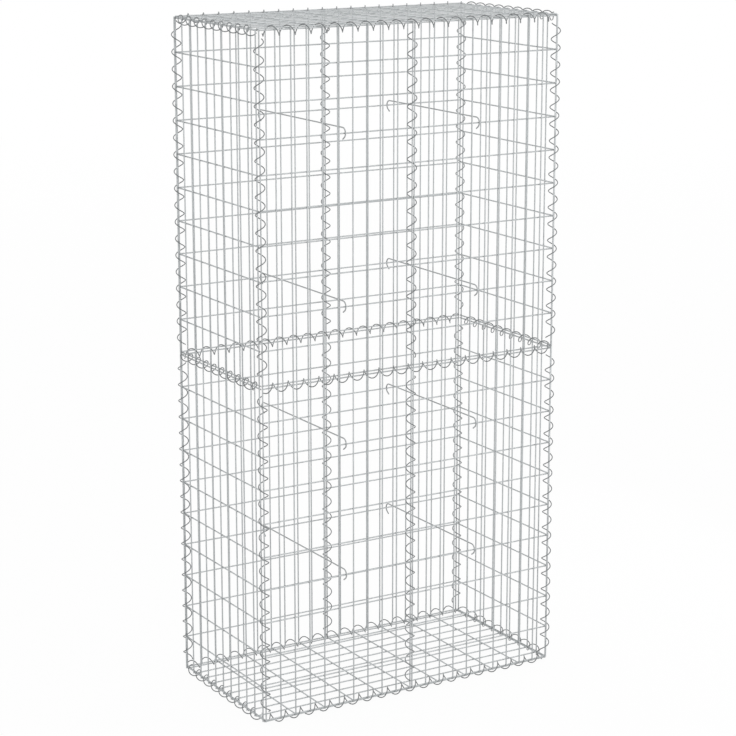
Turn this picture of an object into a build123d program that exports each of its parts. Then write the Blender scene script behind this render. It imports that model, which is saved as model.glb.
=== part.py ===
from build123d import *
import os
from math import cos, floor, pi, radians, sin, sqrt, tan

# A free-standing gabion wall: a tall basket of welded wire panels, two tiers high, two panels long
# and one panel deep, with a base and a lid. Helical binders lace each panel edge to its neighbour,
# and hooked tie wires hold the front and the back together.
# Millimetres. X runs along the wall, Y from front to back, Z up. The origin is at the middle of the
# footprint, at the level of the lowest binder loops.

os.makedirs("parts", exist_ok=True)

# Basket, measured on the nominal faces that the panels lie on
width = 1000.0
depth = 500.0
tier_height = 1000.0
tier_names = ("lower", "upper")

# Clearance between pieces that rest against each other
seat_gap = 0.3

# Welded mesh: line wires on the outside, cross wires welded to the inside of them
mesh_wire = 4.0
line_wires = 11
cross_wires = 11
weld_sink = 0.6
line_offset = 3.4
edge_inset = 3.4
end_inset = 4.4

# How far the base and the lid sit inside the ends of the upright panels
set_in = 3.0

# Helical binders: each turn is a ring of eight straight runs, as long as one mesh opening
binder_wire = 3.0
binder_radius = 14.0
runs_per_turn = 8
turns_per_cross_opening = 2

# Tie wires: a straight wire with a crook at each end, which bears on the outside of a cross wire
tie_wire = 4.0
hook_radius = 15.0
hook_turn = 145.0
hook_tail = 10.0
tie_rows = {"lower": (4, 8), "upper": (2, 7)}

# Sizes that follow from those above
panel_width = width / 2
cross_offset = line_offset - mesh_wire + weld_sink
line_tip_gap = seat_gap / 2
cross_tip_gap = mesh_wire / 2 - cross_offset + seat_gap
cross_spacing = (tier_height - 2 * end_inset) / (cross_wires - 1)
line_spacing = (panel_width - 2 * edge_inset) / (line_wires - 1)
line_outer_face = line_offset + mesh_wire / 2
cross_outer_face = cross_offset + mesh_wire / 2
edge_wire_reach = edge_inset + mesh_wire / 2
end_wire_reach = end_inset + mesh_wire / 2
run_middle_radius = binder_radius * cos(pi / runs_per_turn)
binder_half_diagonal = binder_wire / sqrt(2)
loop_reach = binder_radius + binder_half_diagonal

# A binder's axis is shifted so that the wires inside its loops bear on the middle of a run. The runs
# lie level, upright and at 45 degrees to both: a wire's face bears on a level run at bearing_radius from
# the axis, and its corner bears on a slanting run where its two distances add up to bearing_sum.
bearing_radius = run_middle_radius - binder_half_diagonal - seat_gap
bearing_sum = bearing_radius * sqrt(2)
upright_shift = bearing_sum - edge_wire_reach - line_outer_face
ring_set_in = bearing_sum - edge_wire_reach - line_outer_face + set_in
ring_end_shift = bearing_sum - end_wire_reach - ring_set_in + set_in - cross_outer_face
seam_drop = bearing_radius - end_wire_reach

# Levels of the lower and upper ends of the upright panels
base_level = run_middle_radius + binder_half_diagonal - ring_set_in
lid_level = base_level + tier_height * len(tier_names)

# Room left at the ends of binders: for the level loops, for the cross wires round the corner, and for
# the loops of the long edges
upright_end_gap = ring_set_in + loop_reach + seat_gap
long_end_gap = cross_outer_face + binder_wire + seat_gap
short_end_gap = loop_reach + seat_gap


# A flat welded panel: its plane's y runs along the line wires and its normal points out of the basket
def make_panel(name, plane, span, length):
    line_pitch = (span - 2 * edge_inset) / (line_wires - 1)
    cross_pitch = (length - 2 * end_inset) / (cross_wires - 1)
    with BuildPart() as panel:
        with BuildSketch(plane.offset(line_offset - mesh_wire / 2)):
            with GridLocations(line_pitch, 0, line_wires, 1):
                Rectangle(mesh_wire, length - 2 * line_tip_gap)
        extrude(amount=mesh_wire)
        with BuildSketch(plane.offset(cross_offset - mesh_wire / 2)):
            with GridLocations(0, cross_pitch, 1, cross_wires):
                Rectangle(span - 2 * cross_tip_gap, mesh_wire)
        extrude(amount=mesh_wire)
    panel.part.label = name
    export_step(panel.part, f"parts/{name}.step", write_pcurves=False)


# A helix along a panel edge, as long as the gap at each end leaves room for. The plane's normal
# runs along the edge and its x points to the side where the loops pass the mesh wires.
def make_binder(name, plane, edge_length, end_gap, pitch, right_handed):
    run_rise = pitch / runs_per_turn
    whole_runs = 2 * floor((edge_length / 2 - end_gap - run_rise / 2) / run_rise) + 1
    full_turn = 2 * pi if right_handed else -2 * pi
    corners = []
    for corner in range(whole_runs + 1):
        turns = (corner - whole_runs / 2) / runs_per_turn
        angle = full_turn * turns
        corners.append((binder_radius * cos(angle), binder_radius * sin(angle), pitch * turns))
    with BuildPart() as binder:
        with BuildLine(plane) as path:
            Polyline(*corners)
        with BuildSketch(Plane(origin=path.line @ 0, z_dir=path.line % 0)):
            Rectangle(binder_wire, binder_wire)
        sweep(transition=Transition.RIGHT)
    binder.part.label = name
    export_step(binder.part, f"parts/{name}.step", write_pcurves=False)


# The tie wires of one tier: each holds a front and a back cross wire, beside the middle line wires.
# The straight and the tail of a crook are drawn on to where they would meet, and rounded there.
def make_ties(name, tier_level, rows):
    hook_reach = depth / 2 + cross_outer_face + seat_gap + tie_wire / 2
    turn = radians(hook_turn)
    run_on = hook_radius * tan(turn / 2)
    meet = hook_reach - hook_radius + run_on
    tip = meet + (run_on + hook_tail) * cos(turn)
    tip_drop = (run_on + hook_tail) * sin(turn)
    tie_x = panel_width / 2 - line_spacing / 2
    with BuildPart() as ties:
        for x in (-tie_x, tie_x):
            for row in rows:
                tie_level = tier_level + end_inset + cross_spacing * row + hook_radius
                with BuildLine(Plane.YZ.offset(x)) as path:
                    FilletPolyline(
                        (-tip, tie_level - tip_drop),
                        (-meet, tie_level),
                        (meet, tie_level),
                        (tip, tie_level - tip_drop),
                        radius=hook_radius,
                    )
                with BuildSketch(Plane(origin=path.line @ 0, x_dir=(1, 0, 0), z_dir=path.line % 0)):
                    Rectangle(tie_wire, tie_wire)
                sweep()
    ties.part.label = name
    export_step(ties.part, f"parts/{name}.step", write_pcurves=False)


front, back = -depth / 2, depth / 2
left, right = -width / 2, width / 2

# Upright panels of each tier
for tier, tier_name in enumerate(tier_names):
    middle = base_level + tier_height * tier + tier_height / 2
    for side, x in (("left", left / 2), ("right", right / 2)):
        front_plane = Plane((x, front, middle), x_dir=(1, 0, 0), z_dir=(0, -1, 0))
        back_plane = Plane((x, back, middle), x_dir=(-1, 0, 0), z_dir=(0, 1, 0))
        make_panel(f"{tier_name}_front_{side}_panel", front_plane, panel_width, tier_height)
        make_panel(f"{tier_name}_back_{side}_panel", back_plane, panel_width, tier_height)
    left_plane = Plane((left, 0, middle), x_dir=(0, -1, 0), z_dir=(-1, 0, 0))
    right_plane = Plane((right, 0, middle), x_dir=(0, 1, 0), z_dir=(1, 0, 0))
    make_panel(f"{tier_name}_left_side_panel", left_plane, depth, tier_height)
    make_panel(f"{tier_name}_right_side_panel", right_plane, depth, tier_height)

# Base and lid, with their line wires along the wall
base_plane = Plane((0, 0, base_level + set_in), x_dir=(0, 1, 0), z_dir=(0, 0, -1))
lid_plane = Plane((0, 0, lid_level - set_in), x_dir=(0, -1, 0), z_dir=(0, 0, 1))
make_panel("base_panel", base_plane, depth, width)
make_panel("lid_panel", lid_plane, depth, width)

# Binders that are wound the other way from the rest
left_handed = (
    "upper_back_left", "lower_front_left", "lower_front_middle", "upper_back_middle", "lower_back_right",
    "base_front", "base_right", "middle_front", "middle_right", "lid_back", "lid_right",
)

# Upright binders: at the corners the loops pass the cross wires outside, at the seams inside
upright_pitch = tier_height / (cross_wires - 1) / turns_per_cross_opening
upright_edges = {
    "front_left": (left + upright_shift, front, (-1, -1, 0)),
    "front_middle": (0, front + upright_shift, (0, 1, 0)),
    "front_right": (right - upright_shift, front, (1, -1, 0)),
    "back_left": (left + upright_shift, back, (-1, 1, 0)),
    "back_middle": (0, back - upright_shift, (0, -1, 0)),
    "back_right": (right - upright_shift, back, (1, 1, 0)),
}
for tier, tier_name in enumerate(tier_names):
    middle = base_level + tier_height * tier + tier_height / 2
    for edge, (x, y, facing) in upright_edges.items():
        name = f"{tier_name}_{edge}"
        plane = Plane((x, y, middle), x_dir=facing, z_dir=(0, 0, 1))
        right_handed = name not in left_handed
        make_binder(f"{name}_binder", plane, tier_height, upright_end_gap, upright_pitch, right_handed)

# Level binders round the base, the seam between the tiers, and the lid
long_pitch = panel_width / (line_wires - 1)
short_pitch = depth / (line_wires - 1)
level_rings = {
    "base": (base_level + ring_set_in, ring_end_shift, -1),
    "middle": (base_level + tier_height - seam_drop, 0, 0),
    "lid": (lid_level - ring_set_in, ring_end_shift, 1),
}
for ring, (level, end_shift, up) in level_rings.items():
    out = 1 if up else -1
    for edge, y, facing in (("front", front, -out), ("back", back, out)):
        name = f"{ring}_{edge}"
        plane = Plane((0, y, level), x_dir=(0, facing, up), z_dir=(1, 0, 0))
        make_binder(f"{name}_binder", plane, width, long_end_gap, long_pitch, name not in left_handed)
    for edge, x, facing in (("left", left - end_shift, -out), ("right", right + end_shift, out)):
        name = f"{ring}_{edge}"
        plane = Plane((x, 0, level), x_dir=(facing, 0, up), z_dir=(0, 1, 0))
        make_binder(f"{name}_binder", plane, depth, short_end_gap, short_pitch, name not in left_handed)

# Tie wires
for tier, tier_name in enumerate(tier_names):
    make_ties(f"{tier_name}_tie_wires", base_level + tier_height * tier, tie_rows[tier_name])
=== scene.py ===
from math import atan2, cos, pi, radians, sin

import bpy
from mathutils import Matrix, Vector


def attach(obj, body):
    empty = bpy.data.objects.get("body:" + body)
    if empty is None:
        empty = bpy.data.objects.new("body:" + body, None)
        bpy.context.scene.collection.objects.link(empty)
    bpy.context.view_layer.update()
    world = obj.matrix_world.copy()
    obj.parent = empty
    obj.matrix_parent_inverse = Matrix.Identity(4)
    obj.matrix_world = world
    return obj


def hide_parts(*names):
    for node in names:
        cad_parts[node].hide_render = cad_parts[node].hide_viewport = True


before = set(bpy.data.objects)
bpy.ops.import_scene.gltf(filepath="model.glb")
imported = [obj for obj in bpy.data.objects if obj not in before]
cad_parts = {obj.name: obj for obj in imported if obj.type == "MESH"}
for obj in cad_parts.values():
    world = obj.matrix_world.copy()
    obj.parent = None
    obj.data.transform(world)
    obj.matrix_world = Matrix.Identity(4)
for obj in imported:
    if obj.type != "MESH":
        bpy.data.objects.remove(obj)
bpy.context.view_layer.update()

# A free-standing gabion basket of galvanised wire: round welded mesh, helical binders and hooked ties.
# Metres, in the frame of the part, whose sizes are repeated here.
width = 1.0
depth = 0.5
tier_height = 1.0
tiers = ("lower", "upper")
base_level = 0.007988
lid_level = base_level + tier_height * len(tiers)

# Welded mesh: line wires on the outside, cross wires inside them, and a bead of weld at each crossing
mesh_wire = 0.004
wire_count = 11
line_offset = 0.0034
cross_offset = 0.0
edge_inset = 0.0034
end_inset = 0.0044
set_in = 0.003
line_tip_gap = 0.00015
cross_tip_gap = 0.0023
wire_sides = 12
tip_round = 0.0009
tip_round_steps = 2
weld_radius = 0.0029
weld_height = 0.0014
weld_sides = 8
weld_rings = 4

# Helical binders, whose axes are shifted so that their loops bear on the wires inside them
binder_wire = 0.003
binder_radius = 0.0135
binder_pitch = 0.05
binder_sides = 10
steps_a_turn = 24
upright_turns = 151 / 8
long_turns = 157 / 8
short_turns = 73 / 8
upright_shift = 0.004068
ring_set_in = 0.007068
ring_end_shift = 0.0024
seam_drop = 0.004113

# Hooked ties, and the cross wires that they hold, counted from 0 at the foot of each tier
tie_wire = 0.004
tie_sides = 10
tie_x = 0.22534
tie_reach = 0.2543
hook_radius = 0.015
hook_turn = radians(145)
hook_steps = 16
hook_tail = 0.010
tie_rows = {"lower": (4, 8), "upper": (2, 7)}

# Sizes that follow from those above
panel_width = width / 2
line_pitch = (panel_width - 2 * edge_inset) / (wire_count - 1)
cross_pitch = (tier_height - 2 * end_inset) / (wire_count - 1)
front, back = -depth / 2, depth / 2
left, right = -width / 2, width / 2

# Limits for picking the ends of a wire, merging points and smoothing edges
end_margin = 0.0001
end_facing = 0.95
merge_distance = 0.00005
wire_smoothing = radians(50)
coil_smoothing = radians(60)

# Zinc on every wire: how fine its drifts of tone and its drawn grain are, and what each part of it adds
# to its tone and its dullness
drift_scale = 9.0
drift_detail = 3.0
grain_scale = 900.0
grain_detail = 4.0
grain_depth = 0.0003
crystal_tone_share = 0.35
drift_tone_share = 0.45
grain_tone_share = 0.2
crystal_dulling = 0.08
grain_dulling = 0.1
usual_dulling = 0.08

# Sockets of a Mix node that mixes colours, which bear the same names as those for numbers
first_colour = 6
second_colour = 7
mixed_colour = 2


class Shade:
    """An output of a material's nodes. Arithmetic on it adds Math nodes to the same tree."""

    def __init__(self, tree, output=None):
        self.tree = tree
        self.output = output

    def node(self, kind, settings, inputs, output=0):
        added = self.tree.nodes.new(kind)
        for name, value in settings.items():
            setattr(added, name, value)
        for name, value in inputs.items():
            if isinstance(value, Shade):
                self.tree.links.new(value.output, added.inputs[name])
            else:
                added.inputs[name].default_value = value
        return Shade(self.tree, added.outputs[output] if added.outputs else None)

    def math(self, operation, first, second):
        return self.node("ShaderNodeMath", {"operation": operation}, {0: first, 1: second})

    def __add__(self, other):
        return self.math("ADD", self, other)

    def __sub__(self, other):
        return self.math("SUBTRACT", self, other)

    def __mul__(self, other):
        return self.math("MULTIPLY", self, other)

    def __rsub__(self, other):
        return self.math("SUBTRACT", other, self)

    __radd__ = __add__
    __rmul__ = __mul__


def bare_nodes(owner):
    """The start of an empty node tree, for a material or a world."""
    owner.use_nodes = True
    owner.node_tree.nodes.clear()
    return Shade(owner.node_tree)


def zinc(name, pale, dark, spangle_size, roughness, metallic, grain):
    """Dull galvanised wire: small zinc crystals, slow drifts of tone and fine drawn grain."""
    material = bpy.data.materials.new(name)
    start = bare_nodes(material)
    place = start.node("ShaderNodeTexCoord", {}, {}, "Object")
    crystals = start.node(
        "ShaderNodeTexVoronoi", {}, {"Vector": place, "Scale": 1 / spangle_size}, "Color"
    )
    crystal_tone = start.node("ShaderNodeSeparateColor", {}, {"Color": crystals}, "Red")
    drift = start.node(
        "ShaderNodeTexNoise", {}, {"Vector": place, "Scale": drift_scale, "Detail": drift_detail}, "Fac"
    )
    fine = start.node(
        "ShaderNodeTexNoise", {}, {"Vector": place, "Scale": grain_scale, "Detail": grain_detail}, "Fac"
    )
    tone = crystal_tone * crystal_tone_share + drift * drift_tone_share + fine * grain_tone_share
    colour = start.node(
        "ShaderNodeMix",
        {"data_type": "RGBA"},
        {"Factor": tone, first_colour: (*dark, 1.0), second_colour: (*pale, 1.0)},
        mixed_colour,
    )
    dullness = roughness - usual_dulling + fine * grain_dulling + crystal_tone * crystal_dulling
    bump = start.node("ShaderNodeBump", {}, {"Strength": grain, "Distance": grain_depth, "Height": fine})
    shader = start.node(
        "ShaderNodeBsdfPrincipled",
        {},
        {"Base Color": colour, "Metallic": metallic, "Roughness": dullness, "Normal": bump},
    )
    start.node("ShaderNodeOutputMaterial", {}, {"Surface": shader})
    return material


mesh_zinc = zinc(
    "mesh_zinc", pale=(0.65, 0.675, 0.683), dark=(0.46, 0.477, 0.484),
    spangle_size=0.006, roughness=0.44, metallic=0.95, grain=0.2,
)
weld_zinc = zinc(
    "weld_zinc", pale=(0.53, 0.547, 0.553), dark=(0.32, 0.331, 0.337),
    spangle_size=0.002, roughness=0.55, metallic=0.6, grain=0.5,
)
cut_zinc = zinc(
    "cut_zinc", pale=(0.32, 0.325, 0.325), dark=(0.18, 0.183, 0.184),
    spangle_size=0.001, roughness=0.6, metallic=0.6, grain=0.5,
)
binder_zinc = zinc(
    "binder_zinc", pale=(0.28, 0.292, 0.297), dark=(0.145, 0.153, 0.156),
    spangle_size=0.005, roughness=0.3, metallic=1.0, grain=0.15,
)
tie_zinc = zinc(
    "tie_zinc", pale=(0.46, 0.477, 0.483), dark=(0.3, 0.311, 0.316),
    spangle_size=0.006, roughness=0.34, metallic=0.95, grain=0.15,
)
panel_finishes = (mesh_zinc, weld_zinc, cut_zinc)


def clear_selection():
    bpy.ops.object.select_all(action="DESELECT")


def settle():
    bpy.ops.object.transform_apply(location=True, rotation=True, scale=True)


def pick_edges(piece, wanted):
    """Leaves a piece in edit mode with only the edges selected whose both ends are wanted."""
    bpy.ops.object.mode_set(mode="EDIT")
    bpy.ops.mesh.select_mode(type="EDGE")
    bpy.ops.mesh.select_all(action="DESELECT")
    bpy.ops.object.mode_set(mode="OBJECT")
    points = piece.data.vertices
    for edge in piece.data.edges:
        edge.select = all(wanted(points[end].co) for end in edge.vertices)
    bpy.ops.object.mode_set(mode="EDIT")


def repeat(piece, count, step):
    row = piece.modifiers.new("row", "ARRAY")
    row.count = count
    row.use_relative_offset = False
    row.use_constant_offset = True
    row.constant_offset_displace = step
    bpy.ops.object.modifier_apply(modifier=row.name)


def join(pieces):
    """Joins pieces into the first of them."""
    clear_selection()
    for piece in pieces:
        piece.select_set(True)
    bpy.context.view_layer.objects.active = pieces[0]
    bpy.ops.object.join()
    return pieces[0]


def finish_faces(piece, finish_of):
    """Gives a piece all the finishes of a panel, and each face its own one of them."""
    for finish in panel_finishes:
        piece.data.materials.append(finish)
    for face in piece.data.polygons:
        face.material_index = panel_finishes.index(finish_of(face))


def straight_wire(length, place, turn):
    """A round wire with rounded cut ends, whose end faces show the cut."""
    clear_selection()
    bpy.ops.mesh.primitive_cylinder_add(
        vertices=wire_sides, radius=mesh_wire / 2, depth=length, location=place, rotation=turn
    )
    wire = bpy.context.object
    pick_edges(wire, lambda point: abs(point.z) > length / 2 - end_margin)
    bpy.ops.mesh.bevel(offset=tip_round, segments=tip_round_steps, affect="EDGES")
    bpy.ops.object.mode_set(mode="OBJECT")
    finish_faces(wire, lambda face: cut_zinc if abs(face.normal.z) > end_facing else mesh_zinc)
    settle()
    return wire


def weld_nuggets(place):
    """The flattened bead of metal squeezed out where two wires are welded, at every crossing."""
    clear_selection()
    bpy.ops.mesh.primitive_uv_sphere_add(
        segments=weld_sides, ring_count=weld_rings, radius=weld_radius, location=place
    )
    bead = bpy.context.object
    settle()
    bpy.ops.object.mode_set(mode="EDIT")
    bpy.ops.mesh.select_all(action="SELECT")
    bpy.ops.transform.resize(value=(1, 1, weld_height / weld_radius), center_override=place)
    bpy.ops.object.mode_set(mode="OBJECT")
    finish_faces(bead, lambda face: weld_zinc)
    repeat(bead, wire_count, (line_pitch, 0, 0))
    repeat(bead, wire_count, (0, cross_pitch, 0))
    return bead


def weld_panel():
    """One flat panel about the origin: line wires along y outside, cross wires along x inside."""
    first_x = edge_inset - panel_width / 2
    first_y = end_inset - tier_height / 2
    lines = straight_wire(tier_height - 2 * line_tip_gap, (first_x, 0, line_offset), (pi / 2, 0, 0))
    repeat(lines, wire_count, (line_pitch, 0, 0))
    crosses = straight_wire(panel_width - 2 * cross_tip_gap, (0, first_y, cross_offset), (0, pi / 2, 0))
    repeat(crosses, wire_count, (0, cross_pitch, 0))
    welds = weld_nuggets((first_x, first_y, (line_offset + cross_offset) / 2))
    welded = join((lines, crosses, welds))
    bpy.ops.object.shade_smooth_by_angle(angle=wire_smoothing)
    return welded


def wind_binder(turns, hand):
    """A helix along z about the origin, at x in its middle. Hand is 1 for right, -1 for left."""
    clear_selection()
    half_angle = hand * turns * pi
    half_height = binder_pitch * turns / 2
    slope = atan2(binder_pitch, 2 * pi * binder_radius)
    start = (binder_radius * cos(half_angle), -binder_radius * sin(half_angle), -half_height)
    bpy.ops.mesh.primitive_circle_add(
        vertices=binder_sides, radius=binder_wire / 2, location=start, rotation=(pi / 2, 0, -half_angle)
    )
    coil = bpy.context.object
    settle()
    bpy.ops.object.mode_set(mode="EDIT")
    bpy.ops.mesh.select_all(action="SELECT")
    bpy.ops.transform.resize(value=(1, 1, 1 / cos(slope)), center_override=start)
    bpy.ops.object.mode_set(mode="OBJECT")
    wind = coil.modifiers.new("wind", "SCREW")
    wind.axis = "Z"
    wind.angle = 2 * half_angle
    wind.screw_offset = 2 * half_height
    wind.iterations = 1
    wind.steps = round(steps_a_turn * turns)
    wind.render_steps = wind.steps
    bpy.ops.object.modifier_apply(modifier=wind.name)
    bpy.ops.object.mode_set(mode="EDIT")
    bpy.ops.mesh.select_mode(type="EDGE")
    bpy.ops.mesh.select_all(action="SELECT")
    bpy.ops.mesh.fill_holes(sides=binder_sides)
    bpy.ops.mesh.select_all(action="SELECT")
    bpy.ops.mesh.normals_make_consistent(inside=False)
    bpy.ops.object.mode_set(mode="OBJECT")
    coil.data.materials.append(binder_zinc)
    bpy.ops.object.shade_smooth_by_angle(angle=coil_smoothing)
    return coil


def bend_tie():
    """A tie along y at the origin's level, bent at both ends into a crook that comes back under it."""
    clear_selection()
    bend_start = tie_reach - hook_radius
    bpy.ops.mesh.primitive_circle_add(vertices=tie_sides, radius=tie_wire / 2, rotation=(pi / 2, 0, 0))
    tie = bpy.context.object
    settle()
    bpy.ops.object.mode_set(mode="EDIT")
    bpy.ops.mesh.select_mode(type="EDGE")
    bpy.ops.mesh.select_all(action="SELECT")
    bpy.ops.mesh.extrude_region_move(TRANSFORM_OT_translate={"value": (0, bend_start, 0)})
    bpy.ops.mesh.spin(
        steps=hook_steps, angle=hook_turn, center=(0, bend_start, -hook_radius), axis=(1, 0, 0)
    )
    tail = (0, hook_tail * cos(hook_turn), -hook_tail * sin(hook_turn))
    bpy.ops.mesh.extrude_region_move(TRANSFORM_OT_translate={"value": tail})
    bpy.ops.mesh.edge_face_add()
    bpy.ops.object.mode_set(mode="OBJECT")
    both = tie.modifiers.new("both", "MIRROR")
    both.use_axis = (False, True, False)
    bpy.ops.object.modifier_apply(modifier=both.name)
    bpy.ops.object.mode_set(mode="EDIT")
    bpy.ops.mesh.select_all(action="SELECT")
    bpy.ops.mesh.remove_doubles(threshold=merge_distance)
    bpy.ops.mesh.normals_make_consistent(inside=False)
    bpy.ops.object.mode_set(mode="OBJECT")
    tie.data.materials.append(tie_zinc)
    bpy.ops.object.shade_smooth_by_angle(angle=wire_smoothing)
    return tie


def placing(origin, across, along):
    """A place whose x and z run the two given ways."""
    x = Vector(across).normalized()
    z = Vector(along).normalized()
    turned = Matrix((x, z.cross(x), z)).transposed().to_4x4()
    return Matrix.Translation(origin) @ turned


def copy_to(model, name, place):
    clear_selection()
    model.select_set(True)
    bpy.context.view_layer.objects.active = model
    bpy.ops.object.duplicate(linked=False)
    piece = bpy.context.object
    piece.name = name
    piece.data.name = name
    piece.matrix_world = place
    settle()
    return piece


def stand_for(piece, node):
    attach(piece, "root")
    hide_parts(node)


# Mesh panels
panel = weld_panel()
panel_places = {
    "base": placing((0, 0, base_level + set_in), (0, 1, 0), (0, 0, -1)),
    "lid": placing((0, 0, lid_level - set_in), (0, -1, 0), (0, 0, 1)),
}
for tier, tier_name in enumerate(tiers):
    middle = base_level + tier_height * (tier + 0.5)
    for side, x in (("left", left / 2), ("right", right / 2)):
        panel_places[f"{tier_name}_front_{side}"] = placing((x, front, middle), (1, 0, 0), (0, -1, 0))
        panel_places[f"{tier_name}_back_{side}"] = placing((x, back, middle), (-1, 0, 0), (0, 1, 0))
    panel_places[f"{tier_name}_left_side"] = placing((left, 0, middle), (0, -1, 0), (-1, 0, 0))
    panel_places[f"{tier_name}_right_side"] = placing((right, 0, middle), (0, 1, 0), (1, 0, 0))
for name, place in panel_places.items():
    stand_for(copy_to(panel, f"{name}_mesh", place), f"{name}_panel")
bpy.data.objects.remove(panel)

# Helical binders: the places of the upright ones, of the level ones along the wall and of those across it
left_handed = (
    "upper_back_left", "lower_front_left", "lower_front_middle", "upper_back_middle", "lower_back_right",
    "base_front", "base_right", "middle_front", "middle_right", "lid_back", "lid_right",
)
upright_edges = {
    "front_left": (left + upright_shift, front, (-1, -1, 0)),
    "front_middle": (0, front + upright_shift, (0, 1, 0)),
    "front_right": (right - upright_shift, front, (1, -1, 0)),
    "back_left": (left + upright_shift, back, (-1, 1, 0)),
    "back_middle": (0, back - upright_shift, (0, -1, 0)),
    "back_right": (right - upright_shift, back, (1, 1, 0)),
}
upright_places = {}
for tier, tier_name in enumerate(tiers):
    middle = base_level + tier_height * (tier + 0.5)
    for edge, (x, y, facing) in upright_edges.items():
        upright_places[f"{tier_name}_{edge}"] = placing((x, y, middle), facing, (0, 0, 1))
level_rings = {
    "base": (base_level + ring_set_in, ring_end_shift, 1, -1),
    "middle": (base_level + tier_height - seam_drop, 0, -1, 0),
    "lid": (lid_level - ring_set_in, ring_end_shift, 1, 1),
}
long_places = {}
short_places = {}
for ring, (level, end_shift, out, up) in level_rings.items():
    long_places[f"{ring}_front"] = placing((0, front, level), (0, -out, up), (1, 0, 0))
    long_places[f"{ring}_back"] = placing((0, back, level), (0, out, up), (1, 0, 0))
    short_places[f"{ring}_left"] = placing((left - end_shift, 0, level), (-out, 0, up), (0, 1, 0))
    short_places[f"{ring}_right"] = placing((right + end_shift, 0, level), (out, 0, up), (0, 1, 0))
coil_lengths = ((upright_turns, upright_places), (long_turns, long_places), (short_turns, short_places))
for turns, places in coil_lengths:
    right_coil = wind_binder(turns, 1)
    left_coil = wind_binder(turns, -1)
    for name, place in places.items():
        model = left_coil if name in left_handed else right_coil
        stand_for(copy_to(model, f"{name}_coil", place), f"{name}_binder")
    bpy.data.objects.remove(right_coil)
    bpy.data.objects.remove(left_coil)

# Hooked ties, each tier's four in one piece
tie = bend_tie()
for tier, tier_name in enumerate(tiers):
    ties = []
    for x in (-tie_x, tie_x):
        for row in tie_rows[tier_name]:
            level = base_level + tier_height * tier + end_inset + cross_pitch * row + hook_radius
            ties.append(copy_to(tie, f"{tier_name}_hooked_ties", Matrix.Translation((x, 0, level))))
    stand_for(join(ties), f"{tier_name}_tie_wires")
bpy.data.objects.remove(tie)

# Studio: a wide white floor that keeps a faint shadow near the basket, white surroundings, large soft lamps
plain_white = (1.0, 1.0, 1.0, 1.0)
floor_paint = (0.9, 0.9, 0.9, 1.0)
floor_size = 120
shadow_share = 0.06
shadow_reach = 12.5
soft_strength = 0.75
white_strength = 1.0


def seen_or_mirrored(start):
    """1 for rays from the camera and for those that metal or glass sends on, 0 for plain light."""
    camera = start.node("ShaderNodeLightPath", {}, {}, "Is Camera Ray")
    glossy = start.node("ShaderNodeLightPath", {}, {}, "Is Glossy Ray")
    through = start.node("ShaderNodeLightPath", {}, {}, "Is Transmission Ray")
    return start.math("MINIMUM", camera + glossy + through, 1.0)


clear_selection()
bpy.ops.mesh.primitive_plane_add(size=floor_size, location=(0, 0, 0))
floor = bpy.context.object
floor.name = "floor"
floor_white = bpy.data.materials.new("floor_white")
start = bare_nodes(floor_white)
lit = start.node("ShaderNodeBsdfDiffuse", {}, {"Color": floor_paint})
white = start.node("ShaderNodeEmission", {}, {"Color": plain_white, "Strength": white_strength})
place = start.node("ShaderNodeTexCoord", {}, {}, "Object")
distance = start.node("ShaderNodeVectorMath", {"operation": "LENGTH"}, {0: place}, "Value")
far = start.math("MINIMUM", distance * (1 / shadow_reach), 1.0)
share = seen_or_mirrored(start) * (1 - (1 - far) * shadow_share)
mixed = start.node("ShaderNodeMixShader", {}, {0: share, 1: lit, 2: white})
start.node("ShaderNodeOutputMaterial", {}, {"Surface": mixed})
floor.data.materials.append(floor_white)

world = bpy.data.worlds.new("studio")
start = bare_nodes(world)
soft = start.node("ShaderNodeBackground", {}, {"Color": plain_white, "Strength": soft_strength})
white = start.node("ShaderNodeBackground", {}, {"Color": plain_white, "Strength": white_strength})
mixed = start.node("ShaderNodeMixShader", {}, {0: seen_or_mirrored(start), 1: soft, 2: white})
start.node("ShaderNodeOutputWorld", {}, {"Surface": mixed})
bpy.context.scene.world = world


def lamp(name, place, aim, across, up, watts):
    data = bpy.data.lights.new(name, "AREA")
    data.shape = "RECTANGLE"
    data.size = across
    data.size_y = up
    data.energy = watts
    light = bpy.data.objects.new(name, data)
    light.location = place
    light.rotation_euler = (Vector(aim) - Vector(place)).to_track_quat("-Z", "Y").to_euler()
    light.visible_camera = False
    bpy.context.scene.collection.objects.link(light)


lamp("front", place=(0.4, -4.6, 1.4), aim=(0, 0, 1.2), across=6.0, up=3.0, watts=34)
lamp("side", place=(1.9, 0, 1.4), aim=(0, 0, 1.3), across=2.4, up=2.2, watts=10)
lamp("top", place=(0, 0, 5.5), aim=(0, 0, 0), across=7.0, up=7.0, watts=66)

# The photo's view: from the front left, a little above the lid
view_turn = radians(-31.24)
view_rise = radians(12.87)
view_distance = 6.603
view_target = Vector((0.0025, 0, 1.0419))
towards = Vector((cos(view_rise) * sin(view_turn), -cos(view_rise) * cos(view_turn), sin(view_rise)))
camera_data = bpy.data.cameras.new("photo_view")
camera_data.sensor_width = 36
camera_data.lens = 107.34
camera_data.shift_y = -0.04
camera_data.clip_end = 300
camera = bpy.data.objects.new("photo_view", camera_data)
camera.location = view_target + towards * view_distance
camera.rotation_euler = (-towards).to_track_quat("-Z", "Y").to_euler()
bpy.context.scene.collection.objects.link(camera)
bpy.context.scene.camera = camera
bpy.context.scene.view_settings.view_transform = "Standard"
